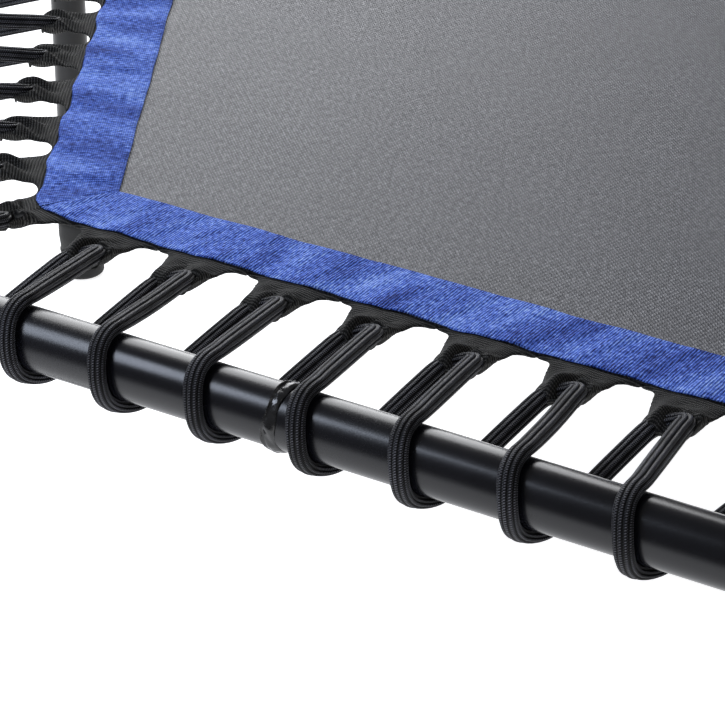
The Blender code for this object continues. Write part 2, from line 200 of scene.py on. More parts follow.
def rounded(corners, radius, steps=5):
    """A profile with its inner corners rounded off."""
    corners = [np.array(c, float) for c in corners]
    out = [corners[0]]
    for before, at, after in zip(corners, corners[1:], corners[2:]):
        a, b = before - at, after - at
        cut = min(radius, np.linalg.norm(a) * 0.45, np.linalg.norm(b) * 0.45)
        a, b = at + a / np.linalg.norm(a) * cut, at + b / np.linalg.norm(b) * cut
        for t in np.linspace(0, 1, steps):
            out.append((1 - t) ** 2 * a + 2 * t * (1 - t) * at + t * t * b)
    out.append(corners[-1])
    return out


# ---- materials -------------------------------------------------------------------------------
class Graph:
    """A principled material whose nodes are added with short calls."""

    def __init__(self, name, **values):
        self.material = bpy.data.materials.new(name)
        self.material.use_nodes = True
        self.nodes, self.links = self.material.node_tree.nodes, self.material.node_tree.links
        self.shader = self.nodes["Principled BSDF"]
        for key, value in values.items():
            self.shader.inputs[key.replace("_", " ")].default_value = value

    def put(self, socket, value):
        if isinstance(value, bpy.types.NodeSocket):
            self.links.new(value, socket)
        elif isinstance(value, tuple) and len(value) == 3 and socket.type == "RGBA":
            socket.default_value = (*value, 1.0)
        else:
            socket.default_value = value

    def math(self, operation, a, b=0.5, c=None, clamp=False):
        node = self.nodes.new("ShaderNodeMath")
        node.operation = operation
        node.use_clamp = clamp
        self.put(node.inputs[0], a)
        self.put(node.inputs[1], b)
        if c is not None:
            self.put(node.inputs[2], c)
        return node.outputs[0]

    def uv(self):
        node = self.nodes.new("ShaderNodeUVMap")
        node.uv_map = "UVMap"
        split = self.nodes.new("ShaderNodeSeparateXYZ")
        self.links.new(node.outputs[0], split.inputs[0])
        return split.outputs[0], split.outputs[1]

    def position(self):
        return self.nodes.new("ShaderNodeTexCoord").outputs["Object"]

    def vector(self, x, y, z=0.0):
        node = self.nodes.new("ShaderNodeCombineXYZ")
        for socket, value in zip(node.inputs, (x, y, z)):
            self.put(socket, value)
        return node.outputs[0]

    def noise(self, vector, scale, detail=2.0, roughness=0.5):
        node = self.nodes.new("ShaderNodeTexNoise")
        self.put(node.inputs["Vector"], vector)
        for key, value in (("Scale", scale), ("Detail", detail), ("Roughness", roughness)):
            node.inputs[key].default_value = value
        return node.outputs["Fac"]

    def range(self, value, a, b, c=0.0, d=1.0, kind="LINEAR"):
        node = self.nodes.new("ShaderNodeMapRange")
        node.interpolation_type = kind
        for key, number in (("From Min", a), ("From Max", b), ("To Min", c), ("To Max", d)):
            node.inputs[key].default_value = number
        self.put(node.inputs["Value"], value)
        return node.outputs[0]

    def wave(self, value, pitch, shift=0.0):
        """0 to 1 and back once in every pitch."""
        phase = self.math("MULTIPLY_ADD", value, 2 * math.pi / pitch, shift)
        return self.math("MULTIPLY_ADD", self.math("SINE", phase), 0.5, 0.5)

    def mix(self, factor, a, b, blend="MIX"):
        node = self.nodes.new("ShaderNodeMix")
        node.data_type = "RGBA"
        node.blend_type = blend
        self.put(node.inputs[0], factor)
        self.put(node.inputs[6], a)
        self.put(node.inputs[7], b)
        return node.outputs[2]

    def ramp(self, factor, *stops):
        node = self.nodes.new("ShaderNodeValToRGB")
        self.put(node.inputs[0], factor)
        elements = node.color_ramp.elements
        while len(elements) < len(stops):
            elements.new(0.5)
        for element, (where, colour) in zip(elements, stops):
            element.position = where
            element.color = (*colour, 1.0)
        return node.outputs[0]

    def bump(self, height, distance, strength=1.0, normal=None):
        node = self.nodes.new("ShaderNodeBump")
        node.inputs["Distance"].default_value = distance
        node.inputs["Strength"].default_value = strength
        self.put(node.inputs["Height"], height)
        if normal is not None:
            self.links.new(normal, node.inputs["Normal"])
        return node.outputs[0]

    def colour(self, value):
        self.put(self.shader.inputs["Base Color"], value)

    def rough(self, value):
        self.put(self.shader.inputs["Roughness"], value)

    def normal(self, value):
        self.links.new(value, self.shader.inputs["Normal"])


def powder_coat(name, base, rough, peel=0.00002):
    g = Graph(name, Specular_IOR_Level=0.42)
    at = g.position()
    broad = g.noise(at, 9.0, 3.0)
    fine = g.noise(at, 900.0, 2.0, 0.55)
    g.colour(g.mix(g.range(broad, 0.3, 0.7), tuple(x * 0.8 for x in base), tuple(x * 1.25 for x in base)))
    g.rough(g.math("ADD", g.range(broad, 0.3, 0.7, rough - 0.03, rough + 0.03),
                   g.range(fine, 0.35, 0.65, -0.02, 0.02)))
    g.normal(g.bump(fine, peel))
    return g.material


def weld_paint():
    g = Graph("painted_weld", Specular_IOR_Level=0.6)
    at = g.position()
    lumps = g.noise(at, 260.0, 3.0, 0.6)
    g.colour(g.ramp(lumps, (0.35, (0.010, 0.010, 0.011)), (0.75, (0.022, 0.022, 0.024))))
    g.rough(g.range(lumps, 0.3, 0.7, 0.10, 0.24))
    g.normal(g.bump(lumps, 0.0005, 0.7))
    return g.material


def zinc():
    g = Graph("zinc_plate", Metallic=1.0)
    at = g.position()
    grain = g.noise(at, 240.0, 4.0, 0.6)
    g.colour(g.mix(grain, (0.34, 0.34, 0.33), (0.62, 0.63, 0.64)))
    g.rough(g.range(grain, 0.3, 0.7, 0.28, 0.46))
    g.normal(g.bump(grain, 0.00012))
    return g.material


def rubber():
    g = Graph("black_rubber", Specular_IOR_Level=0.35)
    at = g.position()
    dust = g.noise(at, 55.0, 4.0, 0.6)
    grain = g.noise(at, 1500.0, 2.0)
    g.colour(g.mix(g.range(dust, 0.4, 0.75), (0.011, 0.011, 0.011), (0.026, 0.026, 0.025)))
    g.rough(g.range(dust, 0.3, 0.7, 0.55, 0.72))
    g.normal(g.bump(grain, 0.00015))
    return g.material


def braided_cord():
    """Fine plaited sleeve in ribs along the cord: two sets of yarns, raised where they cross, with painted
    highlight on the crossings and painted shade in the grooves between ribs.
    """
    g = Graph("braided_cord", Specular_IOR_Level=0.17)
    u, v = g.uv()
    pitch = 1.15 * MM
    one = g.wave(g.math("MULTIPLY_ADD", v, 0.45, u), pitch)
    two = g.wave(g.math("MULTIPLY_ADD", v, -0.45, u), pitch, 0.6)
    crossing = g.math("MULTIPLY_ADD", one, 0.65, g.math("MULTIPLY", two, 0.35))
    # Darker in the grooves between the ribs: painted shade.
    groove = g.range(g.wave(v, ROUND / RIBS, -math.pi / 2), 0.0, 0.55, 0.25, 1.0)
    fibre = g.noise(g.vector(u, g.math("MULTIPLY", v, 3.0)), 900.0, 2.0)
    worn = g.noise(g.position(), 38.0, 3.0)
    # Lighter on the raised crossings as painted highlight and darker in the grooves as painted shade; fibre
    # and worn add random tone and wear.
    bright = g.math("MULTIPLY", g.math("POWER", crossing, 2.0), g.range(fibre, 0.25, 0.75, 0.7, 1.5))
    bright = g.math("MULTIPLY", bright, g.range(worn, 0.35, 0.65, 0.55, 1.15))
    bright = g.math("MULTIPLY", bright, groove)
    g.colour(g.ramp(bright, (0.0, (0.0010, 0.0010, 0.0012)), (0.24, (0.0062, 0.0062, 0.0084)),
                    (0.85, (0.165, 0.168, 0.198))))
    g.rough(g.range(crossing, 0.0, 1.0, 0.58, 0.40))
    g.normal(g.bump(g.math("MULTIPLY", crossing, groove), 0.00045))
    return g.material


def webbing():
    """Ribbed black tape; its ribs run along the side of the mat, with painted highlight on the rib crests
    and painted shade between them.
    """
    g = Graph("black_webbing", Specular_IOR_Level=0.25)
    u, v = g.uv()
    wander = g.noise(g.vector(u, v), 90.0, 2.0)
    rib = g.wave(g.math("MULTIPLY_ADD", wander, 0.8 * MM, v), 1.85 * MM)
    pick = g.wave(g.math("MULTIPLY_ADD", rib, 0.3 * MM, u), 1.0 * MM)
    yarn = g.math("MULTIPLY_ADD", pick, 0.32, g.math("MULTIPLY", rib, 0.68))
    fluff = g.noise(g.vector(u, v), 1400.0, 3.0, 0.7)
    patch = g.noise(g.vector(u, v), 60.0, 3.0)
    # The yarn term paints highlight on the raised yarns and shade between the ribs; fluff and patch add
    # random tone.
    light = g.math("MULTIPLY", g.math("MULTIPLY", yarn, g.range(fluff, 0.3, 0.7, 0.6, 1.35)),
                   g.range(patch, 0.3, 0.7, 0.7, 1.2))
    g.colour(g.ramp(light, (0.06, (0.0014, 0.0014, 0.0014)), (0.42, (0.0140, 0.0140, 0.0135)),
                    (0.95, (0.105, 0.102, 0.097))))
    g.rough(0.82)
    g.normal(g.bump(yarn, 0.0013, 1.0, g.bump(fluff, 0.0005)))
    return g.material


def blue_band():
    """Slub-woven blue tape with its ribs across the band and short bright floats, with painted shade
    between the ribs and painted shade and highlight along its slanting creases.
    """
    g = Graph("blue_band", Roughness=0.88, Specular_IOR_Level=0.2)
    u, v = g.uv()
    wander = g.noise(g.vector(u, g.math("MULTIPLY", v, 0.5)), 140.0, 2.0)
    across = g.math("MULTIPLY_ADD", wander, 1.1 * MM, u)
    rib = g.wave(across, 1.7 * MM)
    pick = g.wave(g.math("MULTIPLY_ADD", rib, 0.45 * MM, v), 1.3 * MM)
    slub = g.noise(g.vector(u, g.math("MULTIPLY", v, 0.42)), 640.0, 2.0, 0.6)
    broad = g.noise(g.vector(u, g.math("MULTIPLY", v, 0.35)), 60.0, 4.0, 0.6)
    slant = g.vector(g.math("MULTIPLY_ADD", v, 0.5, u), g.math("MULTIPLY", v, 0.25))
    crease = g.noise(slant, 28.0, 3.0, 0.55)
    # The rib term paints shade in the valleys between ribs, and the crease term below paints shade and
    # highlight along the slanting creases; slub and broad are the tape's own random tone.
    thread = g.math("MULTIPLY_ADD", pick, 0.36, g.math("MULTIPLY", rib, 0.64))
    painted_light_and_tone = g.math("MULTIPLY_ADD", thread, 0.66, g.range(slub, 0.28, 0.72, -0.20, 0.46))
    painted_light_and_tone = g.math("ADD", painted_light_and_tone, g.range(broad, 0.28, 0.72, -0.13, 0.15))
    painted_light_and_tone = g.math("ADD", painted_light_and_tone, g.range(crease, 0.30, 0.70, -0.20, 0.18), clamp=True)
    g.colour(g.ramp(painted_light_and_tone, (0.05, (0.006, 0.014, 0.110)), (0.34, (0.040, 0.092, 0.440)),
                    (0.58, (0.115, 0.228, 0.830)), (1.0, (0.430, 0.610, 1.000))))
    height = g.math("MULTIPLY_ADD", slub, 0.8, thread)
    g.normal(g.bump(height, 0.00045, 1.0, g.bump(crease, 0.0040, 0.8)))
    return g.material


def woven_mat():
    """Grey plastic weave: flat tapes over and under, with a raised spot on each crossing made lighter as a
    painted highlight.
    """
    g = Graph("woven_mat", Specular_IOR_Level=0.30)
    u, v = g.uv()
    slow = g.noise(g.vector(u, v), 45.0, 2.0)
    a = g.math("MULTIPLY_ADD", v, 0.72, g.math("MULTIPLY_ADD", slow, 1.2 * MM, g.math("MULTIPLY", u, 0.69)))
    b = g.math("MULTIPLY_ADD", v, -0.69, g.math("MULTIPLY", u, 0.72))
    one = g.wave(a, 1.7 * MM)
    two = g.wave(g.math("MULTIPLY_ADD", a, 0.55, b), 3.3 * MM, 0.8)
    spot = g.math("MULTIPLY", g.math("POWER", one, 1.3), g.math("MULTIPLY_ADD", two, 0.75, 0.25))
    cross = g.wave(g.math("MULTIPLY_ADD", a, -0.6, b), 2.1 * MM)
    slub = g.noise(g.vector(a, g.math("MULTIPLY", b, 0.35)), 520.0, 2.0, 0.6)
    broad = g.noise(g.vector(u, v), 14.0, 4.0, 0.6)
    # Painted highlight on each crossing's spot and on the crosswise ridges; slub and broad are random tone.
    painted_light_and_tone = g.math("MULTIPLY_ADD", spot, 0.42, g.range(slub, 0.25, 0.75, 0.06, 0.54))
    painted_light_and_tone = g.math("MULTIPLY_ADD", cross, 0.10, painted_light_and_tone)
    painted_light_and_tone = g.math("ADD", painted_light_and_tone, g.range(broad, 0.3, 0.7, -0.04, 0.04), clamp=True)
    g.colour(g.ramp(painted_light_and_tone, (0.0, (0.024, 0.0245, 0.029)), (0.42, (0.062, 0.063, 0.072)),
                    (1.0, (0.205, 0.207, 0.232))))
    g.rough(g.range(slub, 0.3, 0.7, 0.60, 0.50))
    g.normal(g.bump(spot, 0.00030, 0.9))
    return g.material


COAT = powder_coat("powder_coat", (0.0045, 0.0047, 0.0075), 0.255)
LEG_COAT = powder_coat("leg_coat", (0.010, 0.010, 0.011), 0.34)
WELD = weld_paint()
ZINC = zinc()
RUBBER = rubber()
CORD = braided_cord()
WEBBING = webbing()
BLUE = blue_band()
MAT = woven_mat()


# ---- tube ring -------------------------------------------------------------------------------
def tube_segment(side):
    """One bent corner, from seam to seam."""
    before, after, corner = side_angle(side - 1), side_angle(side), corner_angle(side)
    centre = place(corner, CORNER - BEND, 0, AXIS)
    bend_start = APOTHEM * math.tan(HALF) - BEND * math.tan(HALF)
    spots, outs = [], []
    for along in np.linspace(SEAM, bend_start, 60)[:-1]:
        spots.append(place(before, APOTHEM, along, AXIS))
        outs.append(before)
    for angle in np.linspace(before, after, 41):
        spots.append(centre + place(angle, BEND, 0, 0))
        outs.append(angle)
    for along in np.linspace(-bend_start, SEAM, 60)[1:]:
        spots.append(place(after, APOTHEM, along, AXIS))
        outs.append(after)
    spots, outs = np.array(spots), np.array(outs)
    run = np.concatenate([[0], np.cumsum(np.linalg.norm(np.diff(spots, axis=0), axis=1))])
    around = np.linspace(0, 2 * math.pi, 96, endpoint=False)
    out = np.stack([np.cos(outs), np.sin(outs), np.zeros_like(outs)], -1)
    around = around[None, :, None]
    ring = out[:, None] * np.cos(around) + np.array([0, 0, 1.0]) * np.sin(around)
    shape = Shape()
    uv = grid_uv(run[:, None], np.linspace(0, 2 * math.pi, 97)[None] * TUBE)
    shape.grid(spots[:, None] + TUBE * ring, uv, closed_columns=True)
    shape.piece(f"ring_tube_{side + 1}", COAT, "powder_coat", "frame", [f"frame_segment_{side + 1}"])


def weld(side):
    """A hand-run bead: uneven width, ripples and a raised lip along one edge."""
    around = np.linspace(0, 2 * math.pi, 240, endpoint=False)[:, None]
    w = np.linspace(-1, 1, 25)[None]
    arc = around * TUBE
    loop = 2 * math.pi * TUBE
    half = 3.7 * MM + waves(arc, 20 + side, (loop / 3, loop / 6), 0.6 * MM)
    shift = 2.2 * MM + waves(arc, 40 + side, (loop / 2, loop / 4), 0.8 * MM)
    tall = 1.55 * MM + waves(arc, 60 + side, (loop / 4, loop / 8), 0.35 * MM)
    ripple = 0.05 * MM * np.sin(around * 23 + 2.0 * w ** 2 + waves(arc, 80 + side, (loop / 6,), 1.6)) \
        + 0.25 * MM * np.sin(around * 7 + 3.0 * w + waves(arc, 85 + side, (loop / 5,), 1.2))
    lip = 1.35 * MM * bell(w, -0.74, 0.17) * (1 + waves(arc, 90 + side, (loop / 4, loop / 7), 0.4))
    height = (tall + ripple) * np.sqrt(np.clip(1 - w ** 2, 0, 1)) + lip * smoothstep(1 - np.abs(w), 0, 0.2)
    radius = TUBE - 0.12 * MM + height
    points = place(side_angle(side), APOTHEM + radius * np.cos(around),
                   SEAM + shift + w * half, AXIS + radius * np.sin(around))
    shape = Shape()
    uv = grid_uv(np.linspace(0, loop, 241)[:, None], w * 4 * MM)
    shape.grid(points, uv, closed_rows=True, flip=True)
    shape.piece(f"weld_{side + 1}", WELD, "powder_coat", "frame", [f"weld_bead_{side + 1}"])


# ---- legs ------------------------------------------------------------------------------------
def leg(side):
    centre = place(corner_angle(side), LEG_PLACE, 0, 0)
    foot_top = high(f"rubber_foot_{side + 1}", 2)
    shape = Shape()
    bore = 5.6 * MM
    profile = rounded([(bore, LEG_TOP - 24 * MM), (bore, LEG_TOP), (LEG, LEG_TOP), (LEG, 8 * MM)], 1.0 * MM)
    shape.grid(*turned(profile, centre), closed_rows=True, flip=True)
    shape.piece(f"leg_{side + 1}", LEG_COAT, "powder_coat", "frame", [f"leg_tube_{side + 1}"])
    wide = (high(f"rubber_foot_{side + 1}", 0) - low(f"rubber_foot_{side + 1}", 0)) / 2
    outline = [(0.2 * MM, 0.9 * MM), (wide - 6 * MM, 0.9 * MM), (wide - 4.6 * MM, 0), (wide - 2 * MM, 0),
               (wide, 2.2 * MM), (wide - 0.3 * MM, 7 * MM), (wide - 1.9 * MM, 15 * MM),
               (wide - 1.9 * MM, 18 * MM), (wide - 1.2 * MM, 19.4 * MM), (wide - 1.2 * MM, 21 * MM),
               (wide - 1.9 * MM, 22.4 * MM), (wide - 1.7 * MM, 25 * MM), (wide - 0.8 * MM, 33 * MM),
               (wide - 0.9 * MM, foot_top - 3.2 * MM), (wide - 2.0 * MM, foot_top),
               (LEG + 0.4 * MM, foot_top), (LEG + 0.1 * MM, foot_top - 3 * MM)]
    shape = Shape()
    shape.grid(*turned(rounded(outline, 1.1 * MM), centre, 96), closed_rows=True)
    shape.piece(f"foot_{side + 1}", RUBBER, "rubber", "frame", [f"rubber_foot_{side + 1}"])
    for node, material, size in (("leg_bracket", COAT, 0.9 * MM), ("leg_bolt", ZINC, 0.5 * MM)):
        thing = NODES[f"{node}_{side + 1}"]
        thing.data.materials.clear()
        thing.data.materials.append(material)
        joined = thing.modifiers.new("weld", "WELD")
        joined.merge_threshold = 0.02 * MM
        bevel = thing.modifiers.new("bevel", "BEVEL")
        bevel.width = size
        bevel.segments = 3
        bevel.limit_method = "ANGLE"
        bevel.angle_limit = math.radians(40)


# ---- mat, band and tabs ----------------------------------------------------------------------
def edge_pull(x, y):
    """How far the cloth stands off its plane, rising where the tabs pull at the border."""
    x, y = np.asarray(x, float), np.asarray(y, float)
    rise = np.zeros(np.broadcast(x, y).shape)
    for side in range(SIDES):
        angle = side_angle(side)
        radius = x * math.cos(angle) + y * math.sin(angle)
        along = -x * math.sin(angle) + y * math.cos(angle)
        near = smoothstep(radius, BAND_OUT - 0.075, BAND_OUT)
        inside = np.abs(along) < np.maximum(radius, 0) * math.tan(HALF) + 1e-6
        pull = 0.55 * MM * np.cos(2 * math.pi * along / PITCH)
        pull = pull + waves(along, 300 + side, (0.041, 0.093, 0.021), 0.30 * MM)
        rise = np.where(inside, near * pull, rise)
    return rise


def band_edges(side, share):
    """Inner and outer distance of the band at a share -1 to 1 of its side."""
    along = share * BAND_OUT * math.tan(HALF)
    tab = np.cos(2 * math.pi * (along + 9 * MM) / PITCH)
    ends = np.clip((np.abs(share) - 0.90) / 0.10, 0, 1) ** 2
    wander = waves(along, 500 + side, (0.047, 0.11, 0.023), 0.45 * MM)
    outer = BAND_OUT - 0.4 * MM + 1.0 * MM * tab + wander - 5.0 * MM * ends
    inner = BAND_IN + waves(along, 520 + side, (0.052, 0.095, 0.19), 0.45 * MM) * (1 - ends)
    return inner, outer


def band(side):
    angle = side_angle(side)
    share = np.linspace(-1, 1, 420)[:, None]
    across = np.linspace(0, 1, 34)
    loop = np.concatenate([across, across[::-1]])[None]
    upper = np.concatenate([np.ones_like(across), -np.ones_like(across)])[None]
    inner, outer = band_edges(side, share)
    radius = inner + (outer - inner) * loop
    along = share * (radius * math.tan(HALF) - 0.1 * MM)
    plump = np.clip(1 - np.abs(2 * loop - 1) ** 14, 0, 1) ** 0.5
    thick = (BAND_TOP - BAND_LOW) / 2
    points = place(angle, radius, along, 0)
    seam = 0.35 * MM * (bell(radius, inner + 3.5 * MM, 0.9 * MM) + bell(radius, outer - 3.5 * MM, 0.9 * MM))
    inward = radius - BAND_IN
    crumple = (waves(along + 0.35 * inward, 540 + side, (0.031, 0.017, 0.058, 0.0105), 0.34 * MM)
               + waves(along - 0.25 * inward, 560 + side, (0.024, 0.043), 0.22 * MM))
    fold = np.clip((np.abs(share) - 0.985) / 0.015, 0, 1)
    top = thick * plump + (crumple - seam - 0.5 * MM * fold) * plump
    height = (BAND_TOP + BAND_LOW) / 2 + np.where(upper > 0, top, -thick * plump)
    points[..., 2] = height + edge_pull(points[..., 0], points[..., 1])
    shape = Shape()
    shape.grid(points, grid_uv(along, radius * upper))
    return shape.piece(f"band_{side + 1}", BLUE, "blue_band", "mat", [f"edge_band_{side + 1}"])


def mat():
    """The woven hexagon, top and underside, cut just inside the band's outer edge."""
    share = np.linspace(-1, 1, 60, endpoint=False)
    rings = np.concatenate([[0.0002], np.linspace(0.01, 0.80, 40), np.linspace(0.80, 1, 26)[1:]])
    border = []
    for side in range(SIDES):
        _, outer = band_edges(side, share)
        reach = np.minimum(outer - 1.6 * MM, BAND_OUT)
        border.append(place(side_angle(side), reach, share * reach * math.tan(HALF), 0))
    border = np.concatenate(border)
    flat = rings[None, :, None] * border[:, None]
    soft = waves(flat[..., 0] + 0.3 * flat[..., 1], 700, (0.61, 0.37), 0.30 * MM) \
        + waves(flat[..., 1] - 0.2 * flat[..., 0], 701, (0.53, 0.29), 0.30 * MM)
    lift = edge_pull(flat[..., 0], flat[..., 1]) + soft * (1 - smoothstep(rings, 0.70, 0.88))[None]
    shape = Shape()
    top, under = flat.copy(), flat.copy()
    top[..., 2] = MAT_TOP + lift
    under[..., 2] = MAT_LOW + lift
    points = np.concatenate([top, under[:, ::-1]], 1)
    uv = grid_uv(points[..., 0], points[..., 1])
    uv = np.concatenate([uv, uv[:1]])
    shape.grid(points, uv, closed_rows=True, flip=True)
    return shape.piece("mat", MAT, "mat_weave", "mat", ["jumping_mat"])


HEM = 15.5 * MM          # of a tab's tape, in under the band
TAPE = 1.3 * MM          # half of the doubled tape's thickness
TAB_ROWS = np.concatenate([np.linspace(-HEM, 0, 5), 0.001 + 0.0052 * np.linspace(0, 1, 14) ** 2,
                           np.linspace(0.0072, 0.0115, 6), np.linspace(0.013, 0.0265, 12)])
FOLD = np.radians(np.linspace(90, -90, 15)[1:-1])


def tab_edges(out, reach, vary):
    """Where a tab's left and right edges stand at a distance out from the band."""
    out = np.clip(out, 0, None)
    arch = np.sqrt(np.clip(1 - (1 - np.clip((out - 1.0 * MM) / (5.0 * MM), 0, 1)) ** 2, 0, 1))
    narrow = np.clip((out - 4 * MM) / (reach - 4 * MM), 0, 1)
    left = -(PITCH / 2 - 9.4 * MM * arch) + (7.2 + 0.6 * vary[0]) * MM * narrow ** 1.05
    right = (PITCH / 2 - 10.0 * MM * arch) - (4.4 + 0.6 * vary[1]) * MM * narrow ** 0.6
    return left, right


def tab_rows(reach, vary):
    """The tape from its hem, over the cord and back below: for each row its distance out, its two
    edges, its height from the tape's middle, and how far it is round the fold."""
    scale = reach / TAB_REACH
    out = TAB_ROWS * np.where(TAB_ROWS > 0.012, scale, 1.0)
    left, right = tab_edges(out, reach, vary)
    above = TAPE + 4.9 * MM * smoothstep(out, 9 * MM * scale, out[-1])
    below = TAPE + 4.2 * MM * smoothstep(out, 14 * MM * scale, out[-1])
    flat, bend = np.zeros_like(out), np.ones_like(FOLD)
    half = np.where(FOLD > 0, 6.2, 5.5) * MM
    top = (out, left, right, above, flat)
    fold = (out[-1] * bend, left[-1] * bend, right[-1] * bend, half * np.sin(FOLD), np.cos(FOLD))
    under = (out[::-1], left[::-1], right[::-1], -below[::-1], flat)
    return [np.concatenate(parts)[None] for parts in zip(top, fold, under)]


def tab_creases(out, across, upper_side, nose, reach, vary):
    """Height from the cord's pull: a hollow by the strands, and folds that fan up to the hem."""
    neck = smoothstep(out, 0.006, reach)
    hollow = bell(across, (0.6 + 0.8 * vary[2]) * MM, 2.9 * MM) * smoothstep(out, 0.40 * reach, 0.9 * reach)
    under_cord = (smoothstep(out + 3 * MM * nose, 0.80 * reach, 1.02 * reach)
                  * smoothstep(across, 3.2 * MM, 5.6 * MM) * (1 - smoothstep(across, 14.6 * MM, 16.5 * MM)))
    fan_width = 2.5 * MM + 2.4 * MM * (1 - neck)
    fan = np.sin(across / fan_width * 1.55 + 3 * vary[3] + 6 * out / reach * (0.5 + 0.25 * vary[4]))
    folds = 1.15 * MM * fan * smoothstep(out, 0.003, 0.013) * (1 - 0.25 * nose)
    ridge_line = (-7 + 11 * (1 - out / reach) + vary[5]) * MM
    ridge = 1.7 * MM * bell(across, ridge_line, 3.0 * MM) * smoothstep(out, 0.005, 0.016) * (1 - nose)
    pulled = folds * (1 - under_cord) + ridge - 4.6 * MM * hollow - 7.6 * MM * under_cord
    return np.where(upper_side, pulled, -0.4 * folds)


def tab_shape(shape, side, tab):
    """One tab with its stretch of hem: a doubled tape drawn in round the cord's turn."""
    corner = tab == 0
    seed = 1000 + side * 40 + tab * 3
    vary = np.random.default_rng(seed).uniform(-1, 1, 12)
    reach = CORNER_REACH if corner else TAB_REACH
    out, left, right, half, nose = tab_rows(reach, vary)
    share = np.linspace(-1, 1, 49)[:, None]
    ragged = waves(out * 3, seed + 1, (0.011, 0.006, 0.0037), 0.30 * MM) * smoothstep(out, 0.004, 0.012)
    ragged = ragged * np.sign(share) * np.abs(share) ** 8
    across = (left + right) / 2 + share * ((right - left) / 2 + ragged)
    hang = (7.6 * MM - 3.6 * MM * smoothstep(across, 0.5 * MM, 9 * MM)
            - 2.6 * MM * smoothstep(-across, 6 * MM, 13 * MM)
            + 1.2 * MM * waves(across, seed + 4, (0.005, 0.0028, 0.009), 0.6))
    down = np.clip(-half / (6 * MM), 0, 1)
    far = out + nose ** 0.8 * (5.0 * MM + (0.72 + 0.28 * down) * hang)
    creases = tab_creases(out, across, half > 0, nose, reach, vary) * np.clip(1 - np.abs(share) ** 6, 0, 1)
    closing = np.clip(1 - np.abs(share) ** 8, 0, 1) ** 0.5
    height = half * closing + creases + 0.20 * across * smoothstep(out, 0.010, reach)
    if corner:
        flare = HALF * np.clip(across / (13 * MM), -1, 1) * (1 - smoothstep(far, 0.004, 0.016))
        facing = corner_angle(side) + flare
        blunt = 5.0 * MM * bell(across, 0, 13 * MM)
        radius = BAND_OUT / math.cos(HALF) - np.abs(across) * math.sin(HALF) - blunt
        base = place(corner_angle(side), radius, across * math.cos(HALF), 0)
        points = base + np.stack([np.cos(facing) * far, np.sin(facing) * far, np.zeros_like(far)], -1)
    else:
        points = place(side_angle(side), BAND_OUT + far, (tab - TABS / 2) * PITCH + across, 0)
    lift = edge_pull(points[..., 0], points[..., 1]) * (1 - smoothstep(far, 0.0, 0.02))
    points[..., 2] = STRIP + height + lift + LIFT * smoothstep(far, -0.005, 0.001)
    steps = np.diff(points[len(points) // 2], axis=0)
    run = np.concatenate([[0], np.cumsum(np.linalg.norm(steps, axis=1))])
    shape.grid(points, grid_uv(across, run[None]))


def tabs(side):
    shape = Shape()
    for tab in range(TABS):
        tab_shape(shape, side, tab)
    return shape.piece(f"tabs_{side + 1}", WEBBING, "webbing", "mat", [f"tab_strip_{side + 1}"])


# ---- elastic cord ----------------------------------------------------------------------------
LOOP = 8.2 * MM          # radius of the cord's turn inside a tab
WRAP = TUBE + 4.0 * MM   # from the tube's axis to the flattened cord's
WRAP_TURNS = (0.30, 0.40, 0.50, 0.60, 0.70, 0.80, 0.90, 1.00, 1.15, 1.30, 1.40, 1.50, 1.60, 1.70)
WRAP_ALONG = (-6.6, -6.8, -6.9, -6.8, -6.1, -4.3, -2.5, -1.3, -0.8, -0.4, 1.2, 4.4, 8.2, 11.5)
SHIFT = 2.5 * MM         # of a wrap, from halfway between its two tabs
EXIT = ((0, 0, 0), (3.2, 1.6, 0.8), (6.2, 2.0, 2.0), (8.6, 0.3, 3.2), (9.9, -3.6, 4.0), (10.3, -9.0, 4.6))
STRAND = (0.12, 0.30, 0.50, 0.70, 0.88)
EASE = 30 * MM ** 2      # how much the cord's turns are smoothed
ENTRY = (90, 68, 45, 22, 0)


def tab_spot(side, tab):
    """Direction, radius and place along the side of the cord's turn in a tab, up to the next corner."""
    if tab % TABS == 0:
        return corner_angle(side + tab // TABS), CORNER_TUNNEL, 0.0
    return side_angle(side), TUNNEL, (tab - TABS / 2) * PITCH


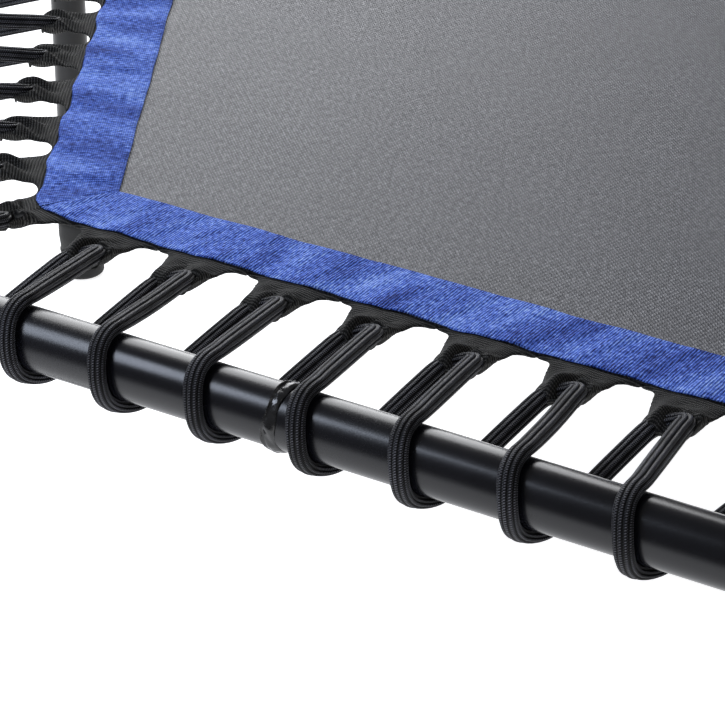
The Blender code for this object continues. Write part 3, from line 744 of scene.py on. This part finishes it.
def cord_link(side, tab):
    """Centre line from the middle of one tab to the middle of the next: points, facing, flatness."""
    angle = side_angle(side)
    start, end = tab_spot(side, tab), tab_spot(side, tab + 1)
    vary = np.random.default_rng(3000 + side * 16 + tab).uniform(-1, 1, 4)
    points, facing, flat = [], [], []

    def add(point, normal, flatness):
        points.append(point)
        facing.append(normal)
        flat.append(flatness)

    up = np.array([0, 0, 1.0])
    rise = STRIP + LIFT
    for across, inward, raised in EXIT:
        spot = place(start[0], start[1] - inward * MM, start[2] + across * MM, rise + raised * MM)
        add(spot, up, -0.5 + 0.05 * across)
    middle = (tab + 0.5 - TABS / 2) * PITCH + SHIFT + 0.8 * MM * vary[0]
    slope = math.atan2(WRAP, APOTHEM - TUNNEL)
    first, sweep = math.pi / 2 - slope, math.pi + 2 * slope

    def wrap_point(turn):
        along = middle + MM * np.interp(turn / math.pi, WRAP_TURNS, WRAP_ALONG)
        return place(angle, APOTHEM - WRAP * math.cos(turn), along, AXIS + WRAP * math.sin(turn))

    over_start, over_end, under_start = points[-1], wrap_point(first), wrap_point(first + sweep)
    for t in STRAND:
        sag = (0.9 * vary[1] - 0.8) * MM * math.sin(math.pi * t)
        add(over_start + (over_end - over_start) * t + sag * up, up, 1.5 * max(0.0, t - 0.6))
    for turn in first + sweep * np.linspace(0, 1, 17):
        add(wrap_point(turn), place(angle, -math.cos(turn), 0, math.sin(turn)), 1.0)
    entry = [place(end[0], end[1] + LOOP - LOOP * math.cos(b), end[2] - LOOP * math.sin(b),
                   rise - 2.2 * MM * math.sin(b)) for b in np.radians(ENTRY)]
    for t in STRAND:
        sag = 0.8 * MM * math.sin(math.pi * t)
        add(under_start + (entry[0] - under_start) * t + sag * up, -up, 1.5 * max(0.0, 0.4 - t))
    for point, b in zip(entry, ENTRY):
        add(point, -up, -0.5 + 0.4 * math.sin(math.radians(b)))
    return np.array(points), np.array(facing), np.array(flat)


def resample(points, facing, flat, step):
    """A smooth curve through the points, at even steps, with its sharpest turns eased."""
    p = np.concatenate([[2 * points[0] - points[1]], points, [2 * points[-1] - points[-2]]])
    extra = np.concatenate([facing, flat[:, None]], 1)
    dense, carried = [], []
    t = np.linspace(0, 1, 12, endpoint=False)[:, None]
    for i, (a, b, c, d) in enumerate(zip(p, p[1:], p[2:], p[3:])):
        square, cube = 2 * a - 5 * b + 4 * c - d, 3 * b - a - 3 * c + d
        dense.append(0.5 * (2 * b + (c - a) * t + square * t ** 2 + cube * t ** 3))
        carried.append(extra[i] + (extra[i + 1] - extra[i]) * t)
    dense = np.concatenate(dense + [points[-1:]])
    carried = np.concatenate(carried + [extra[-1:]])
    run = np.concatenate([[0], np.cumsum(np.linalg.norm(np.diff(dense, axis=0), axis=1))])
    even = np.linspace(0, run[-1], int(run[-1] / step) + 1)
    line = np.stack([np.interp(even, run, dense[:, k]) for k in range(3)], -1)
    more = np.stack([np.interp(even, run, carried[:, k]) for k in range(4)], -1)
    for _ in range(int(EASE / step ** 2)):
        for values in (line, more):
            values[1:-1] += (values[:-2] + values[2:] - 2 * values[1:-1]) / 4
    return even, line, more[:, :3], more[:, 3]


def frames(line, facing):
    along = np.gradient(line, axis=0)
    along /= np.linalg.norm(along, axis=1)[:, None]
    facing = facing - (facing * along).sum(1)[:, None] * along
    facing /= np.linalg.norm(facing, axis=1)[:, None]
    return facing, np.cross(along, facing)


def section(flat, count):
    """Half width and half thickness round a fluted, softly flattened cord."""
    theta = np.linspace(0, 2 * math.pi, count, endpoint=False)[None]
    flat = flat[:, None]
    wide = 5.10 * MM - 0.25 * MM * np.clip(flat, 0, 1) + 0.9 * MM * np.clip(flat, -1, 0)
    thick = 4.35 * MM - 0.75 * MM * np.clip(flat, 0, 1)
    flute = 1 + 0.20 * (np.abs(np.cos(RIBS / 2 * (theta - math.pi / 2))) ** 0.75 - 0.7)
    c, s = np.cos(theta), np.sin(theta)
    power = 2.35
    size = (np.abs(c) ** power + np.abs(s) ** power) ** (-1 / power) * flute
    return wide * size * c, thick * size * s


def cord(side):
    shape = Shape()
    count = 80
    for tab in range(TABS):
        run, line, facing, flat = resample(*cord_link(side, tab), 2.2 * MM)
        normal, binormal = frames(line, facing)
        x, y = section(flat, count)
        points = line[:, None] + binormal[:, None] * x[..., None] + normal[:, None] * y[..., None]
        around = np.linspace(0, ROUND, count + 1)[None]
        shape.grid(points, grid_uv(run[:, None], around), closed_columns=True)
    piece = shape.piece(f"cord_{side + 1}", CORD, "cord")
    if side == 0:
        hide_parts("elastic_cord")
    blended(piece)


def blended(piece):
    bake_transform(piece)


def ferrule():
    """Crimped sleeve where the loop is closed, on an under strand at the back."""
    side, tab = SIDES // 2, TABS // 2
    run, line, facing, flat = resample(*cord_link(side, tab), 0.5 * MM)
    goal = (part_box("cord_ferrule")[0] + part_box("cord_ferrule")[1]) / 2
    nearest = int(np.argmin(np.linalg.norm(line - np.array(goal), axis=1)))
    rows = slice(nearest - 14, nearest + 15)
    normal, binormal = frames(line, facing)
    line, normal, binormal, run = line[rows], normal[rows], binormal[rows], run[rows]
    t = np.linspace(-1, 1, len(run))
    crimp = 1 - 0.07 * (bell(t, -0.45, 0.12) + bell(t, 0, 0.12) + bell(t, 0.45, 0.12))
    edge = np.clip(1 - np.abs(t) ** 16, 0, 1) ** 0.5
    reach = (4.9 * MM + 1.5 * MM * edge) * crimp
    theta = np.linspace(0, 2 * math.pi, 48, endpoint=False)[None, :, None]
    ring = binormal[:, None] * np.cos(theta) * 1.06 + normal[:, None] * np.sin(theta) * 0.92
    points = line[:, None] + ring * reach[:, None, None]
    shape = Shape()
    shape.grid(points, grid_uv(run[:, None], np.linspace(0, 36 * MM, 49)[None]), closed_columns=True)
    piece = shape.piece("ferrule", ZINC, "zinc")
    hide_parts("cord_ferrule")
    blended(piece)


for side in range(SIDES):
    tube_segment(side)
    weld(side)
    leg(side)
sheet = mat()
for side in range(SIDES):
    band(side)
    tabs(side)
    cord(side)
ferrule()


# ---- floor, light and camera -----------------------------------------------------------------
def floor():
    rings = np.concatenate([[0.0001], np.linspace(0.3, 3.0, 10), [6.0, 12.0]])
    angle = np.linspace(0, 2 * math.pi, 64, endpoint=False)[:, None]
    height = np.full((len(angle), len(rings)), -0.0005)
    points = np.stack([rings * np.cos(angle), rings * np.sin(angle), height], -1)
    mesh = bpy.data.meshes.new("floor")
    quads, _ = quads_of(64, len(rings), True, False)
    mesh.from_pydata(points.reshape(-1, 3).tolist(), [], quads[:, ::-1].tolist())
    g = Graph("pale_floor", Roughness=0.9, Specular_IOR_Level=0.1)
    g.shader.inputs["Emission Color"].default_value = (1.0, 1.0, 1.0, 1.0)
    reach = g.nodes.new("ShaderNodeVectorMath")
    reach.operation = "DISTANCE"
    g.put(reach.inputs[0], g.position())
    reach.inputs[1].default_value = (0.7, 1.5, 0)
    glow = g.range(reach.outputs["Value"], 2.5, 4.1, 0.86, 0.22, "SMOOTHSTEP")
    g.put(g.shader.inputs["Emission Strength"], glow)
    patch = g.noise(g.position(), 3.0, 2.0)
    g.colour(g.mix(patch, (0.80, 0.80, 0.80), (0.83, 0.83, 0.83)))
    mesh.materials.append(g.material)
    ground = bpy.data.objects.new("floor", mesh)
    bpy.context.scene.collection.objects.link(ground)


def softbox(name, spot, aim, width, height, radiance, colour=(1, 1, 1)):
    light = bpy.data.lights.new(name, "AREA")
    light.shape = "RECTANGLE"
    light.size, light.size_y = width, height
    light.energy = radiance * math.pi * width * height
    light.color = colour
    box = bpy.data.objects.new(name, light)
    box.location = spot
    box.rotation_euler = (Vector(aim) - Vector(spot)).to_track_quat("-Z", "Y").to_euler()
    box.visible_camera = False
    bpy.context.scene.collection.objects.link(box)


floor()
softbox("key", (-1.18, -1.26, 1.56), (-0.15, -0.52, 0.28), 0.80, 0.80, 9.6, (0.76, 0.84, 1.0))
softbox("back", (-1.76, 1.45, 1.42), (-0.2, -0.45, 0.28), 2.0, 2.2, 5.0, (0.97, 0.98, 1.0))
softbox("fill", (2.2, -0.4, 1.7), (0.1, -0.2, 0.28), 1.2, 1.2, 0.8)
world = bpy.data.worlds.new("studio")
world.use_nodes = True
world.node_tree.nodes["Background"].inputs["Color"].default_value = (1, 1, 1, 1)
world.node_tree.nodes["Background"].inputs["Strength"].default_value = 0.16
scene = bpy.context.scene
scene.world = world
scene.view_settings.view_transform = "Standard"

camera_data = bpy.data.cameras.new("camera")
camera_data.sensor_width = 36
camera_data.lens = 137.3
camera_data.clip_start, camera_data.clip_end = 0.05, 40
camera = bpy.data.objects.new("camera", camera_data)
yaw, pitch = math.radians(-32.2), math.radians(27.9)
look = Vector((math.sin(yaw) * math.cos(pitch), math.cos(yaw) * math.cos(pitch), -math.sin(pitch)))
camera.location = (0.6775, -1.513, 0.939)
camera.rotation_euler = look.to_track_quat("-Z", "Y").to_euler()
scene.collection.objects.link(camera)
scene.camera = camera
